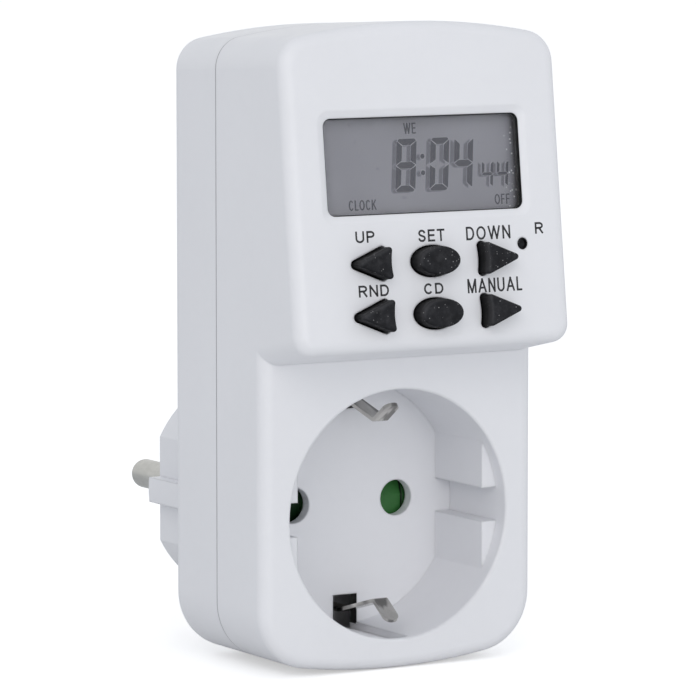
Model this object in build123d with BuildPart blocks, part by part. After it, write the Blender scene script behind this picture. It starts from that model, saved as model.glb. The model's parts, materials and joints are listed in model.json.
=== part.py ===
from build123d import *
import os
from math import cos, hypot, radians, sin, tan

# Digital plug-in timer with an earthed socket in front and the matching plug behind.
# Frame: the origin is the centre of the plug's end face, between the pins. +X is to the
# right of someone who looks at the display, +Y goes into the wall along the pins and +Z
# is up. All sizes are in millimetres and all angles in degrees.

os.makedirs("parts", exist_ok=True)

# Plug and its pins
pin_spacing = 19.0
pin_diameter = 4.8
pin_length = 19.0
pin_tip_round = 2.0
pin_seat_depth = 0.15
pin_root_diameter = 4.0
pin_head_diameter = 7.0
pin_head_thickness = 1.5
pin_neck_diameter = 4.4
pin_neck_length = 2.4
plug_diameter = 37.0
plug_flat_width = 32.8
plug_rib_height = 4.1
plug_length = 20.1
plug_edge_round = 1.0
plug_cavity_height = 29.2

# Housing
body_width = 49.6
belly_depth = 24.05
crown_sagitta = 2.7
crown_fall = 2.6
belly_sagitta = 2.8
top_corner = 5.0
bottom_corner = 9.5
rear_depth = 15.0
front_depth = 14.4
wall = 2.0
rear_round = 3.0
front_round = 2.0
lip_height = 1.5
lip_thickness = 0.9
joint_gap = 0.1
screw_gap = 0.05
overshoot = 1.0

# Leaning control panel and the step under it
step_height = 25.3
panel_reach = 10.0
panel_lean = 6.8
underside_slope = 12.0
panel_corner = 3.0
crown_margin = 10.95

# Socket recess
socket_rise = 0.5
recess_diameter = 39.5
recess_depth = 16.9
recess_flat_width = 33.8
recess_groove = 5.4
guide_setback = 2.7
collar_wall = 1.8
floor_thickness = 2.0
pin_hole_diameter = 5.8
slot_width = 4.4
slot_reach = 4.75
notch_width = 4.1
notch_depth = 1.1
notch_setback = 0.8
mouth_round = 0.4

# Display
window_width = 35.2
window_height = 15.0
window_shift = -0.4
window_mark = 15.0
window_corner = 1.3
bevel_width = 1.2
bevel_depth = 0.5
lens_recess = 0.9
lens_gap = 0.08
lens_border = 1.4
lens_flange = 0.8
glass_width = 37.4
glass_height = 18.2
glass_depth = 3.0
glass_thickness = 2.0
frame_wall = 1.0
frame_ledge = 1.7
connector_width = 30.0
connector_height = 1.8

# Keys and what lies behind them
oval_width = 7.45
oval_height = 4.5
triangle_length = 6.9
triangle_height = 5.6
triangle_bow = 0.4
triangle_offset = 11.7
key_shift = -0.2
key_row_pitch = 8.1
key_corner_round = 0.5
key_gap = 0.28
key_rise = 2.6
key_travel = 1.0
key_flange = 0.8
key_border = 0.6
key_edge_round = 0.45
key_stem_diameter = 3.0
key_floor_gap = 0.215
reset_x = 16.45
reset_mark = 2.0
reset_hole_diameter = 1.9
reset_stem_diameter = 1.5
reset_flange_diameter = 2.8
reset_sink = 0.6
reset_travel = 0.7
guide_width = 38.4
guide_wall = 0.9
guide_plate_depth = 4.3
guide_plate_thickness = 1.0
guide_high = 4.7
guide_rim_low = -7.2
dome_sheet_thickness = 0.2
dome_diameter = 4.6
dome_height = 0.4
dome_gap = 0.05

# Control board and its parts
board_depth = 7.2
board_thickness = 1.2
board_side_gap = 2.0
board_floor_gap = 0.6
board_top_margin = 5.4
board_notch_gap = 0.8
board_post_diameter = 4.4
board_post_side = 7.0
board_post_low_side = 2.2
board_post_inset = 2.2
chip_size = 11.0
chip_thickness = 1.6
chip_mark = -1.2
crystal_diameter = 2.0
crystal_length = 6.2
crystal_side = 8.8
crystal_mark = 2.0
battery_diameter = 11.6
battery_height = 5.2
battery_side = 10.8

# Power board and its parts
power_standoff = 3.0
power_thickness = 1.6
power_side_gap = 2.3
power_floor_gap = 3.55
power_top_margin = 2.5
power_notch_gap = 2.0
power_post_side = 2.6
power_post_inset = 3.6
edge_gap = 0.5
component_gap = 2.0
row_spare = 1.0
relay_height = 15.4
relay_depth = 15.4
film_width = 8.0
film_height = 18.0
film_depth = 13.0
smoothing_diameter = 8.0
smoothing_height = 12.0
varistor_diameter = 10.0
varistor_thickness = 4.0
varistor_x = -12.0
resistor_diameter = 4.0
resistor_length = 11.0
resistor_x = 12.5
diode_count = 4
diode_diameter = 2.6
diode_length = 5.2
diode_pitch = 4.2
tail_diameter = 0.8
tail_reach = 1.2
transistor_diameter = 4.6
transistor_height = 4.8
transistor_lift = 1.5
transistor_pitch = 1.3
ribbon_width = 12.0
ribbon_thickness = 0.9
ribbon_bow = 3.0
ribbon_inset = 5.0

# Shutter, its spring and the contact carrier behind the recess floor
shutter_cover = 0.4
shutter_thickness = 2.0
shutter_front_gap = 0.7
shutter_gap = 0.25
shutter_ramp = 1.2
pivot_diameter = 3.0
pivot_gap = 0.05
pivot_overlap = 0.75
spring_thickness = 0.4
spring_width = 1.6
spring_level = 10.0
spring_root_x = 2.4
spring_bend_x = -1.5
spring_touch_x = -6.8
spring_tip_x = -8.6
spring_tip_lift = 0.65
spring_block_width = 3.6
spring_block_height = 1.6
carrier_thickness = 1.5
carrier_border = 2.8
carrier_post_diameter = 4.0
carrier_post_side = 1.0
carrier_post_z = 8.4
nest_wall = 0.7
nest_depth = 2.5

# Contacts, earth parts and leads
contact_sheet = 0.6
contact_width = 6.0
contact_mouth = 5.6
contact_pinch = 4.4
contact_end_gap = 1.1
leaf_straight = 2.4
leaf_slope = 3.2
rivet_diameter = 3.0
rivet_head_height = 0.6
tag_width = 2.8
tag_margin = 0.2
earth_sheet = 0.8
earth_width = 3.8
earth_slot_width = 4.4
earth_recess_depth = 2.1
earth_recess_end = 2.6
earth_bar_gap = 2.1
clip_sheet = 0.6
clip_width = 2.6
clip_root_inset = 2.35
clip_bend_inset = 5.35
clip_tip_inset = 2.55
clip_foot = 3.6
clip_bend_depth = 6.0
clip_bend_round = 0.6
clip_tip_depth = 1.9
clip_tip_round = 1.2
lead_diameter = 1.8
lead_bend = 1.3
lead_spread = 2.4
lead_lift = 2.4
lead_overlap = 3.6

# Fasteners
case_screw_diameter = 2.6
case_screw_length = 15.0
case_head_diameter = 5.0
case_head_height = 1.8
case_well_diameter = 5.6
case_well_depth = 9.0
case_boss_diameter = 7.2
case_post_diameter = 6.0
case_side = 4.8
case_top_gap = 0.2
case_low_gap = 0.8
cross_length = 3.0
cross_width = 0.7
cross_depth = 1.1
board_screw_diameter = 2.0
board_screw_grip = 4.0
board_head_diameter = 3.6
board_head_height = 1.2
carrier_screw_grip = 3.0
drive_slot_width = 0.6

# Depths along Y that follow from the sizes above
back_y = -plug_length
seam_y = back_y - rear_depth
socket_y = seam_y - front_depth
floor_y = socket_y + recess_depth
floor_back_y = floor_y + floor_thickness
inner_back_y = back_y - wall
panel_y = socket_y - panel_reach
shutter_y = floor_back_y + shutter_front_gap
carrier_y = shutter_y + shutter_thickness + shutter_gap
carrier_back_y = carrier_y + carrier_thickness
power_back_y = inner_back_y - power_standoff
power_front_y = power_back_y - power_thickness
earth_bar_y = inner_back_y - earth_bar_gap
rivet_seat = wall + pin_head_thickness + pin_neck_length
live_base = -(floor_y + pin_length) - contact_end_gap - contact_sheet / 2
pin_x = pin_spacing / 2

# Slopes of the panel and of its underside
lean_sin, lean_cos = sin(radians(panel_lean)), cos(radians(panel_lean))
lean_rise = tan(radians(panel_lean))
slope_rise = tan(radians(underside_slope))
inner_step = step_height + wall / cos(radians(underside_slope))

# Depths behind the panel's surface
key_flange_depth = wall + joint_gap
key_stem_depth = key_flange_depth + key_flange
dome_depth = board_depth - dome_sheet_thickness
key_stem_end = dome_depth - dome_height - dome_gap - key_travel
reset_stem_end = dome_depth - dome_height - dome_gap - reset_travel
board_back = board_depth + board_thickness

# Height of the panel's top key row, from the flanges of the low row up
key_height = max(oval_height, triangle_height)
low_row_reach = key_row_pitch + key_height / 2 + key_border + key_floor_gap
flange_rise = (panel_reach - key_flange_depth * lean_cos) * slope_rise
panel_mark = inner_step + flange_rise + key_flange_depth * lean_sin
panel_mark = panel_mark + low_row_reach * (lean_cos + slope_rise * lean_sin)

# Heights above the display's frame
frame_width = glass_width + 2 * frame_wall + 2 * joint_gap
frame_height = glass_height + 2 * frame_wall + 2 * joint_gap
frame_top_mark = window_mark + frame_height / 2
frame_top_z = panel_mark + frame_top_mark * lean_cos
crown_height = frame_top_z + crown_margin

# Places that follow from the recess and the housing's width
collar_radius = recess_diameter / 2 + collar_wall
case_top_x = body_width / 2 - case_side
case_top_z = frame_top_z + case_post_diameter / 2 + case_top_gap
case_low_reach = collar_radius + case_boss_diameter / 2 + case_low_gap
case_low_x = case_low_reach * sin(radians(45))
case_low_z = socket_rise - case_low_reach * cos(radians(45))
shutter_length = pin_spacing + pin_hole_diameter + 4 * shutter_cover
shutter_width = pin_hole_diameter + 2 * shutter_cover
carrier_post_x = shutter_length / 2 + carrier_post_side
lead_z = socket_rise + contact_width / 2 + lead_lift


def underside_mark(depth):
    """Where the panel's inner underside meets the plane this far behind the panel."""
    climb = inner_step + (panel_reach - depth * lean_cos) * slope_rise - panel_mark
    return (climb + depth * lean_sin) / (lean_cos + slope_rise * lean_sin)


# Outlines of the two boards, and the places that follow from their widths
board_width = body_width - 2 * wall - 2 * board_side_gap
board_post_low_x = board_width / 2 - board_post_low_side
crystal_x = board_width / 2 - crystal_side
battery_x = battery_side - board_width / 2
board_low = underside_mark(board_back) + board_floor_gap
board_high = frame_top_mark + board_top_margin
notch_z = case_top_z - case_post_diameter / 2 - board_notch_gap
board_notch_mark = (notch_z - panel_mark) / lean_cos
board_notch_x = case_top_x - case_post_diameter / 2 - board_notch_gap
power_width = body_width - 2 * wall - 2 * power_side_gap
row_gaps = 2 * edge_gap + 2 * component_gap + row_spare
relay_width = power_width - film_width - smoothing_diameter - row_gaps
power_low = socket_rise + collar_radius + power_floor_gap
part_row_z = power_low + power_post_inset + board_head_diameter / 2 + edge_gap
relay_top_z = part_row_z + relay_height
diode_low_z = relay_top_z + diode_diameter / 2 + edge_gap
diode_high_z = diode_low_z + (diode_count - 1) * diode_pitch
power_high = diode_high_z + diode_diameter / 2 + power_top_margin
power_notch_z = case_top_z - case_boss_diameter / 2 - power_notch_gap
power_notch_x = case_top_x - case_boss_diameter / 2 - power_notch_gap


def facing_front(y):
    """The upright plane at depth y, whose normal points at the viewer."""
    return Plane.XZ.offset(-y)


def panel_plane(depth):
    """The plane parallel to the control panel, this far behind its surface."""
    outward = Vector(0, -lean_cos, lean_sin)
    origin = Vector(0, panel_y, panel_mark) - outward * depth
    return Plane(origin=origin, x_dir=(1, 0, 0), z_dir=outward)


def bent_strip(points, thickness):
    """A strip of even thickness along a bent centre line, with mitred corners."""
    left, right = [], []
    for i, (x, y) in enumerate(points):
        into = (x - points[i - 1][0], y - points[i - 1][1]) if i > 0 else None
        out = (points[i + 1][0] - x, points[i + 1][1] - y) if i < len(points) - 1 else into
        into = into or out
        n1 = (-into[1] / hypot(*into), into[0] / hypot(*into))
        n2 = (-out[1] / hypot(*out), out[0] / hypot(*out))
        share = 1 + n1[0] * n2[0] + n1[1] * n2[1]
        mx, my = (n1[0] + n2[0]) / share, (n1[1] + n2[1]) / share
        left.append((x + mx * thickness / 2, y + my * thickness / 2))
        right.append((x - mx * thickness / 2, y - my * thickness / 2))
    with BuildSketch() as strip:
        with BuildLine():
            Polyline(*left, *reversed(right), close=True)
        make_face()
    return strip.sketch_local


def belly_outline(inset):
    """The housing's sides and bowed bottom in the front view, open far above."""
    half = body_width / 2 - inset
    bottom = inset - belly_depth
    rise = belly_sagitta * (2 * half / body_width) ** 2
    far_z = crown_height + wall
    with BuildSketch() as outline:
        with BuildLine():
            Polyline((-half, bottom + rise), (-half, far_z), (half, far_z), (half, bottom + rise))
            ThreePointArc((half, bottom + rise), (0, bottom), (-half, bottom + rise))
        make_face()
        fillet(outline.vertices().group_by(Axis.Y)[0], bottom_corner - inset)
    return outline.sketch_local


def crown_outline(inset):
    """The housing's sides and bowed top in the front view, open far below."""
    half = body_width / 2 - inset
    top = crown_height - inset
    drop = crown_sagitta * (2 * half / body_width) ** 2
    far_z = -2 * belly_depth
    with BuildSketch() as outline:
        with BuildLine():
            Polyline((half, top - drop), (half, far_z), (-half, far_z), (-half, top - drop))
            ThreePointArc((-half, top - drop), (0, top), (half, top - drop))
        make_face()
        fillet(outline.vertices().group_by(Axis.Y)[-1], top_corner - inset)
    return outline.sketch_local


def body_outline(inset):
    """The housing's front view at the seam, moved inwards by the inset."""
    with BuildSketch() as outline:
        add(belly_outline(inset))
        add(crown_outline(inset), mode=Mode.INTERSECT)
    return outline.sketch_local


def stepped_side(inset, behind_y):
    """The side view that cuts the front view: low front, step and leaning panel."""
    low_front = socket_y + inset
    step_z = step_height + inset / cos(radians(underside_slope))
    front = panel_y + inset / lean_cos
    edge_z = step_z + (socket_y - front + panel_mark * lean_rise) * slope_rise
    edge_z = edge_z / (1 + lean_rise * slope_rise)
    edge_y = front + (edge_z - panel_mark) * lean_rise
    far_z = crown_height + wall
    with BuildSketch() as side:
        with BuildLine():
            Polyline(
                (behind_y, -far_z),
                (low_front, -far_z),
                (low_front, step_z - inset * slope_rise),
                (edge_y, edge_z),
                (front + (far_z - panel_mark) * lean_rise, far_z),
                (behind_y, far_z),
                close=True,
            )
        make_face()
    return side.sketch_local


def case_block(inset, behind_y, depth):
    """A block with the front view's form, whose crown falls towards the wall."""
    outward = (0, -cos(radians(crown_fall)), sin(radians(crown_fall)))
    crown_plane = Plane(origin=(0, seam_y, crown_height), x_dir=(1, 0, 0), z_dir=outward)
    with BuildPart() as block:
        with BuildSketch(facing_front(behind_y)):
            add(belly_outline(inset))
        extrude(amount=depth)
        with BuildSketch(crown_plane):
            with Locations((0, -crown_height)):
                add(crown_outline(inset))
        extrude(amount=2 * (rear_depth + front_depth), both=True, mode=Mode.INTERSECT)
    return block.part


def housing_block(inset, behind_y):
    """The front shell's solid form, moved inwards by the inset."""
    straight = case_block(inset, behind_y, front_depth + 2 * panel_reach)
    with BuildPart() as block:
        add(straight)
        with BuildSketch(Plane.YZ):
            add(stepped_side(inset, behind_y))
        extrude(amount=body_width, both=True, mode=Mode.INTERSECT)
    return block.part


def plug_outline():
    """The plug's end view: a disc with two flats, and a rib on each flat."""
    with BuildSketch() as outline:
        Rectangle(plug_flat_width, plug_diameter)
        Rectangle(plug_diameter, plug_rib_height)
        Circle(plug_diameter / 2, mode=Mode.INTERSECT)
    return outline.sketch_local


def key_outline(kind, side, border):
    """One key, or its hole or flange when a border is added."""
    with BuildSketch() as outline:
        if kind == "oval":
            Ellipse(oval_width / 2 + border, oval_height / 2 + border)
        else:
            tip, base = side * triangle_length / 2, -side * triangle_length / 2
            high = triangle_height / 2
            with BuildLine():
                Line((tip, 0), (base, high))
                ThreePointArc((base, high), (base + side * triangle_bow, 0), (base, -high))
                Line((base, -high), (tip, 0))
            make_face()
            fillet(outline.vertices(), key_corner_round)
            if border > 0:
                offset(amount=border, kind=Kind.ARC)
    return outline.sketch_local


def case_spots(level=None):
    """Where the case screws stand, on an upright plane: all, or only the top or low two."""
    top = [(side * case_top_x, case_top_z) for side in (-1, 1)]
    low = [(side * case_low_x, case_low_z) for side in (-1, 1)]
    return {"top": top, "low": low}.get(level, top + low)


def board_spots():
    """Where the control board's screws stand, on the panel."""
    top_x = case_top_x - board_post_side
    top = [(side * top_x, board_high - board_post_inset) for side in (-1, 1)]
    return top + [(side * board_post_low_x, board_low + board_post_inset) for side in (-1, 1)]


def power_spots():
    """Where the power board's screws stand, on an upright plane."""
    rows = (power_low + power_post_inset, power_high - power_post_inset)
    across = power_width / 2 - power_post_side
    return [(side * across, row) for row in rows for side in (-1, 1)]


def carrier_spots():
    """Where the contact carrier's screws stand, on an upright plane."""
    rows = (socket_rise - carrier_post_z, socket_rise + carrier_post_z)
    return [(side * carrier_post_x, row) for row in rows for side in (-1, 1)]


left_keys_x, right_keys_x = key_shift - triangle_offset, key_shift + triangle_offset
key_spots = {
    "up_key": ("triangle", -1, left_keys_x, 0),
    "set_key": ("oval", 0, key_shift, 0),
    "down_key": ("triangle", 1, right_keys_x, 0),
    "random_key": ("triangle", -1, left_keys_x, -key_row_pitch),
    "countdown_key": ("oval", 0, key_shift, -key_row_pitch),
    "manual_key": ("triangle", 1, right_keys_x, -key_row_pitch),
}
stem_spots = [(spot[2], spot[3]) for spot in key_spots.values()]
guide_low = underside_mark(board_depth) + board_floor_gap
outside = housing_block(0, seam_y)
inside = housing_block(wall, seam_y + joint_gap)
tray = case_block(0, back_y, rear_depth)
tray_inside = case_block(wall, inner_back_y, rear_depth)

# Front housing: stepped shell, socket recess, window, key holes and posts
with BuildPart() as front_housing:
    add(outside)
    underside_ends = front_housing.edges().filter_by(
        lambda e: e.geom_type == GeomType.LINE
        and abs(e.center().X) > body_width / 2 - 0.01
        and e.center().Y < socket_y - 1
        and e.center().Z < step_height + panel_reach
    )
    fillet(underside_ends, panel_corner)
    fronts = front_housing.faces().filter_by(
        lambda f: f.geom_type == GeomType.PLANE and f.normal_at().Y < -0.9
    )
    fillet(fronts.sort_by(Axis.Z)[-1].edges(), front_round)
    fronts = front_housing.faces().filter_by(
        lambda f: f.geom_type == GeomType.PLANE and f.normal_at().Y < -0.9
    )
    outer_edges = fronts.sort_by(Axis.Z)[0].edges().filter_by(
        lambda e: e.center().Z < step_height - 0.1
    )
    fillet(outer_edges, front_round)
    add(inside, mode=Mode.SUBTRACT)

    # Lip that enters the rear cover, cleared where the screw bosses stand
    with BuildSketch(facing_front(seam_y + lip_height)):
        add(body_outline(wall - lip_thickness))
        add(body_outline(wall + joint_gap), mode=Mode.SUBTRACT)
        with Locations(*case_spots()):
            Circle(case_boss_diameter / 2 + 2 * joint_gap, mode=Mode.SUBTRACT)
    extrude(amount=lip_height + joint_gap)

    # Cup of the socket recess
    with BuildSketch(facing_front(floor_back_y)):
        with Locations((0, socket_rise)):
            Circle(collar_radius)
    extrude(amount=floor_back_y - socket_y - wall / 2)
    with BuildSketch(facing_front(socket_y + guide_setback)):
        with Locations((0, socket_rise)):
            Circle(recess_diameter / 2)
    extrude(amount=guide_setback + overshoot, mode=Mode.SUBTRACT)
    with BuildSketch(facing_front(floor_y)):
        with Locations((0, socket_rise)):
            Rectangle(recess_flat_width, recess_diameter)
            Rectangle(recess_diameter, recess_groove)
            Circle(recess_diameter / 2, mode=Mode.INTERSECT)
    extrude(amount=recess_depth - guide_setback, mode=Mode.SUBTRACT)
    rim = front_housing.edges().filter_by(
        lambda e: e.geom_type == GeomType.CIRCLE
        and abs(e.radius - recess_diameter / 2) < 0.01
        and abs(e.center().Y - socket_y) < 0.01
    )
    fillet(rim, mouth_round)

    # Pin holes, earth clip slots and the notches above them
    with BuildSketch(facing_front(floor_back_y + overshoot)):
        with Locations((-pin_x, socket_rise), (pin_x, socket_rise)):
            Circle(pin_hole_diameter / 2)
        slot_middle = (recess_diameter - slot_reach) / 2
        with Locations((0, socket_rise + slot_middle), (0, socket_rise - slot_middle)):
            Rectangle(slot_width, slot_reach)
    extrude(amount=floor_thickness + 2 * overshoot, mode=Mode.SUBTRACT)
    with BuildSketch(facing_front(floor_back_y + overshoot)):
        notch_middle = slot_middle + notch_depth / 2
        with Locations((0, socket_rise + notch_middle), (0, socket_rise - notch_middle)):
            Rectangle(notch_width, slot_reach + notch_depth)
    notch_length = floor_back_y + overshoot - socket_y - notch_setback
    extrude(amount=notch_length, mode=Mode.SUBTRACT)

    # Shutter pivot, spring blocks and carrier posts on the back of the recess floor
    with BuildSketch(facing_front(carrier_y + pivot_overlap)):
        with Locations((0, socket_rise)):
            Circle(pivot_diameter / 2)
    extrude(amount=carrier_y + pivot_overlap - floor_back_y + overshoot)
    with BuildSketch(facing_front(carrier_y - joint_gap)):
        block_shift = (spring_thickness + spring_block_height) / 2 + screw_gap
        for block_z in (spring_level - block_shift, spring_level + block_shift):
            with Locations((spring_root_x, block_z)):
                Rectangle(spring_block_width, spring_block_height)
    extrude(amount=carrier_y - joint_gap - floor_back_y + overshoot)
    with BuildSketch(facing_front(carrier_y)):
        with Locations(*carrier_spots()):
            Circle(carrier_post_diameter / 2)
    extrude(amount=carrier_y - floor_back_y + overshoot)
    with BuildSketch(facing_front(carrier_y)):
        with Locations(*carrier_spots()):
            Circle(board_screw_diameter / 2 + screw_gap)
    extrude(amount=carrier_screw_grip + joint_gap, mode=Mode.SUBTRACT)

    # Posts for the case screws
    panel_inner_y = panel_y + (case_top_z - panel_mark) * lean_rise + wall / lean_cos
    with BuildSketch(facing_front(seam_y)):
        with Locations(*case_spots("top")):
            Circle(case_post_diameter / 2)
    extrude(amount=seam_y - panel_inner_y + wall / 4)
    with BuildSketch(facing_front(seam_y)):
        with Locations(*case_spots("low")):
            Circle(case_post_diameter / 2)
    extrude(amount=front_depth - wall / 2)
    with BuildSketch(facing_front(seam_y)):
        with Locations(*case_spots()):
            Circle(case_screw_diameter / 2 + screw_gap)
    extrude(amount=front_depth - 2 * wall, mode=Mode.SUBTRACT)

    # Posts for the control board
    with BuildSketch(panel_plane(board_depth)):
        with Locations(*board_spots()):
            Circle(board_post_diameter / 2)
    extrude(amount=board_depth - wall / 2)
    with BuildSketch(panel_plane(board_depth)):
        with Locations(*board_spots()):
            Circle(board_screw_diameter / 2 + screw_gap)
    extrude(amount=board_screw_grip + joint_gap, mode=Mode.SUBTRACT)

    # Display window with its shallow bevel
    with BuildSketch(panel_plane(wall + overshoot)):
        with Locations((window_shift, window_mark)):
            RectangleRounded(window_width, window_height, window_corner)
    extrude(amount=wall + 2 * overshoot, mode=Mode.SUBTRACT)
    with BuildSketch(panel_plane(bevel_depth)):
        with Locations((window_shift, window_mark)):
            RectangleRounded(window_width, window_height, window_corner)
    with BuildSketch(panel_plane(0)):
        with Locations((window_shift, window_mark)):
            bevel_corner = window_corner + bevel_width / 2
            bevelled_width = window_width + 2 * bevel_width
            bevelled_height = window_height + 2 * bevel_width
            RectangleRounded(bevelled_width, bevelled_height, bevel_corner)
    loft(mode=Mode.SUBTRACT)

    # Key holes and the reset hole
    with BuildSketch(panel_plane(wall + overshoot)):
        for kind, side, across, up in key_spots.values():
            with Locations((across, up)):
                add(key_outline(kind, side, key_gap))
        with Locations((reset_x, reset_mark)):
            Circle(reset_hole_diameter / 2)
    extrude(amount=wall + 2 * overshoot, mode=Mode.SUBTRACT)
front_housing.part.label = "front_housing"
export_step(front_housing.part, "parts/front_housing.step")

# Rear cover: shallow tray with the plug, screw wells and bosses
with BuildPart() as rear_cover:
    add(tray)
    fillet(rear_cover.faces().sort_by(Axis.Y)[-1].edges(), rear_round)
    with BuildSketch(facing_front(0)):
        add(plug_outline())
    extrude(amount=plug_length + wall / 2)
    fillet(rear_cover.faces().sort_by(Axis.Y)[-1].edges(), plug_edge_round)

    # Insides of the tray and of the plug
    add(tray_inside, mode=Mode.SUBTRACT)
    with BuildSketch(facing_front(seam_y + lip_height + joint_gap)):
        add(body_outline(wall - lip_thickness - joint_gap))
    extrude(amount=rear_depth, mode=Mode.SUBTRACT)
    with BuildSketch(facing_front(-wall)):
        Circle(plug_diameter / 2 - wall)
        Rectangle(plug_flat_width - 2 * wall, plug_cavity_height, mode=Mode.INTERSECT)
    extrude(amount=plug_length + overshoot, mode=Mode.SUBTRACT)

    # Holes for the pins and recesses for the side earth contacts
    with BuildSketch(facing_front(overshoot)):
        with Locations((-pin_x, 0), (pin_x, 0)):
            Circle(pin_root_diameter / 2 + screw_gap)
    extrude(amount=wall + 2 * overshoot, mode=Mode.SUBTRACT)
    with BuildSketch(facing_front(-pin_seat_depth)):
        with Locations((-pin_x, 0), (pin_x, 0)):
            Circle(pin_diameter / 2 + screw_gap)
    extrude(amount=-pin_seat_depth, mode=Mode.SUBTRACT)
    with BuildSketch(facing_front(-earth_recess_end)):
        recess_level = plug_diameter / 2 - earth_recess_depth / 2
        with Locations((0, recess_level + joint_gap), (0, -recess_level - joint_gap)):
            Rectangle(earth_slot_width, earth_recess_depth + 2 * joint_gap)
    extrude(amount=plug_length + wall - earth_recess_end + overshoot, mode=Mode.SUBTRACT)

    # Bosses and wells of the case screws
    with BuildSketch(facing_front(inner_back_y + wall / 2)):
        with Locations(*case_spots()):
            Circle(case_boss_diameter / 2)
    extrude(amount=rear_depth - 1.5 * wall - joint_gap)
    with BuildSketch(facing_front(back_y + overshoot)):
        with Locations(*case_spots()):
            Circle(case_well_diameter / 2)
    extrude(amount=case_well_depth + overshoot, mode=Mode.SUBTRACT)
    with BuildSketch(facing_front(back_y)):
        with Locations(*case_spots()):
            Circle(case_screw_diameter / 2 + screw_gap)
    extrude(amount=rear_depth + overshoot, mode=Mode.SUBTRACT)

    # Bosses of the power board
    with BuildSketch(facing_front(power_back_y)):
        with Locations(*power_spots()):
            Circle(board_post_diameter / 2)
    extrude(amount=-power_standoff - wall / 2)
    with BuildSketch(facing_front(power_back_y)):
        with Locations(*power_spots()):
            Circle(board_screw_diameter / 2 + screw_gap)
    extrude(amount=-board_screw_grip - joint_gap, mode=Mode.SUBTRACT)
rear_cover.part.label = "rear_cover"
export_step(rear_cover.part, "parts/rear_cover.step")

# Metal plug pins, each with a head, a neck and a riveted end inside the plug
with BuildPart() as plug_pin_left:
    with BuildSketch(facing_front(pin_length)):
        with Locations((-pin_x, 0)):
            Circle(pin_diameter / 2)
    extrude(amount=pin_length + pin_seat_depth)
    fillet(plug_pin_left.faces().sort_by(Axis.Y)[-1].edges(), pin_tip_round)
    with BuildSketch(facing_front(-pin_seat_depth)):
        with Locations((-pin_x, 0)):
            Circle(pin_root_diameter / 2)
    extrude(amount=wall - pin_seat_depth)
    with BuildSketch(facing_front(-wall)):
        with Locations((-pin_x, 0)):
            Circle(pin_head_diameter / 2)
    extrude(amount=pin_head_thickness)
    with BuildSketch(facing_front(-wall - pin_head_thickness)):
        with Locations((-pin_x, 0)):
            Circle(pin_neck_diameter / 2)
    extrude(amount=pin_neck_length)
    with BuildSketch(facing_front(-rivet_seat)):
        with Locations((-pin_x, 0)):
            Circle(rivet_diameter / 2)
    extrude(amount=contact_sheet)
    with BuildSketch(facing_front(-rivet_seat - contact_sheet)):
        with Locations((-pin_x, 0)):
            Circle(pin_neck_diameter / 2)
    extrude(amount=rivet_head_height)
plug_pin_left.part.label = "plug_pin_left"
export_step(plug_pin_left.part, "parts/plug_pin_left.step")

with BuildPart() as plug_pin_right:
    add(plug_pin_left.part.mirror(Plane.YZ))
plug_pin_right.part.label = "plug_pin_right"
export_step(plug_pin_right.part, "parts/plug_pin_right.step")

# Clear lens of the display, flush in its window and flanged behind the panel
with BuildPart() as display_lens:
    with BuildSketch(panel_plane(wall + joint_gap)):
        with Locations((window_shift, window_mark)):
            lens_width = window_width - 2 * lens_gap
            lens_height = window_height - 2 * lens_gap
            RectangleRounded(lens_width, lens_height, window_corner - lens_gap)
    extrude(amount=wall + joint_gap - lens_recess)
    with BuildSketch(panel_plane(wall + joint_gap + lens_flange)):
        with Locations((window_shift, window_mark)):
            Rectangle(window_width + 2 * lens_border, window_height + 2 * lens_border)
    extrude(amount=lens_flange)
display_lens.part.label = "display_lens"
export_step(display_lens.part, "parts/display_lens.step")

# Liquid crystal glass, held by a frame and fed by a rubber connector
with BuildPart() as lcd_glass:
    with BuildSketch(panel_plane(glass_depth + glass_thickness)):
        with Locations((window_shift, window_mark)):
            Rectangle(glass_width, glass_height)
    extrude(amount=glass_thickness)
lcd_glass.part.label = "lcd_glass"
export_step(lcd_glass.part, "parts/lcd_glass.step")

with BuildPart() as lcd_frame:
    with BuildSketch(panel_plane(board_depth - screw_gap)):
        with Locations((window_shift, window_mark)):
            Rectangle(frame_width, frame_height)
    extrude(amount=board_depth - screw_gap - glass_depth)
    with BuildSketch(panel_plane(board_depth)):
        with Locations((window_shift, window_mark)):
            Rectangle(glass_width - 2 * frame_ledge, glass_height - 2 * frame_ledge)
    extrude(amount=board_depth, mode=Mode.SUBTRACT)
    with BuildSketch(panel_plane(glass_depth + glass_thickness + screw_gap)):
        with Locations((window_shift, window_mark)):
            Rectangle(glass_width + 2 * joint_gap, glass_height + 2 * joint_gap)
    extrude(amount=board_depth, mode=Mode.SUBTRACT)
lcd_frame.part.label = "lcd_frame"
export_step(lcd_frame.part, "parts/lcd_frame.step")

with BuildPart() as lcd_connector:
    with BuildSketch(panel_plane(board_depth - screw_gap)):
        connector_drop = glass_height / 2 - frame_ledge - joint_gap - connector_height / 2
        with Locations((window_shift, window_mark - connector_drop)):
            Rectangle(connector_width, connector_height)
    extrude(amount=board_depth - 2 * screw_gap - glass_depth - glass_thickness)
lcd_connector.part.label = "lcd_connector"
export_step(lcd_connector.part, "parts/lcd_connector.step")

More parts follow.
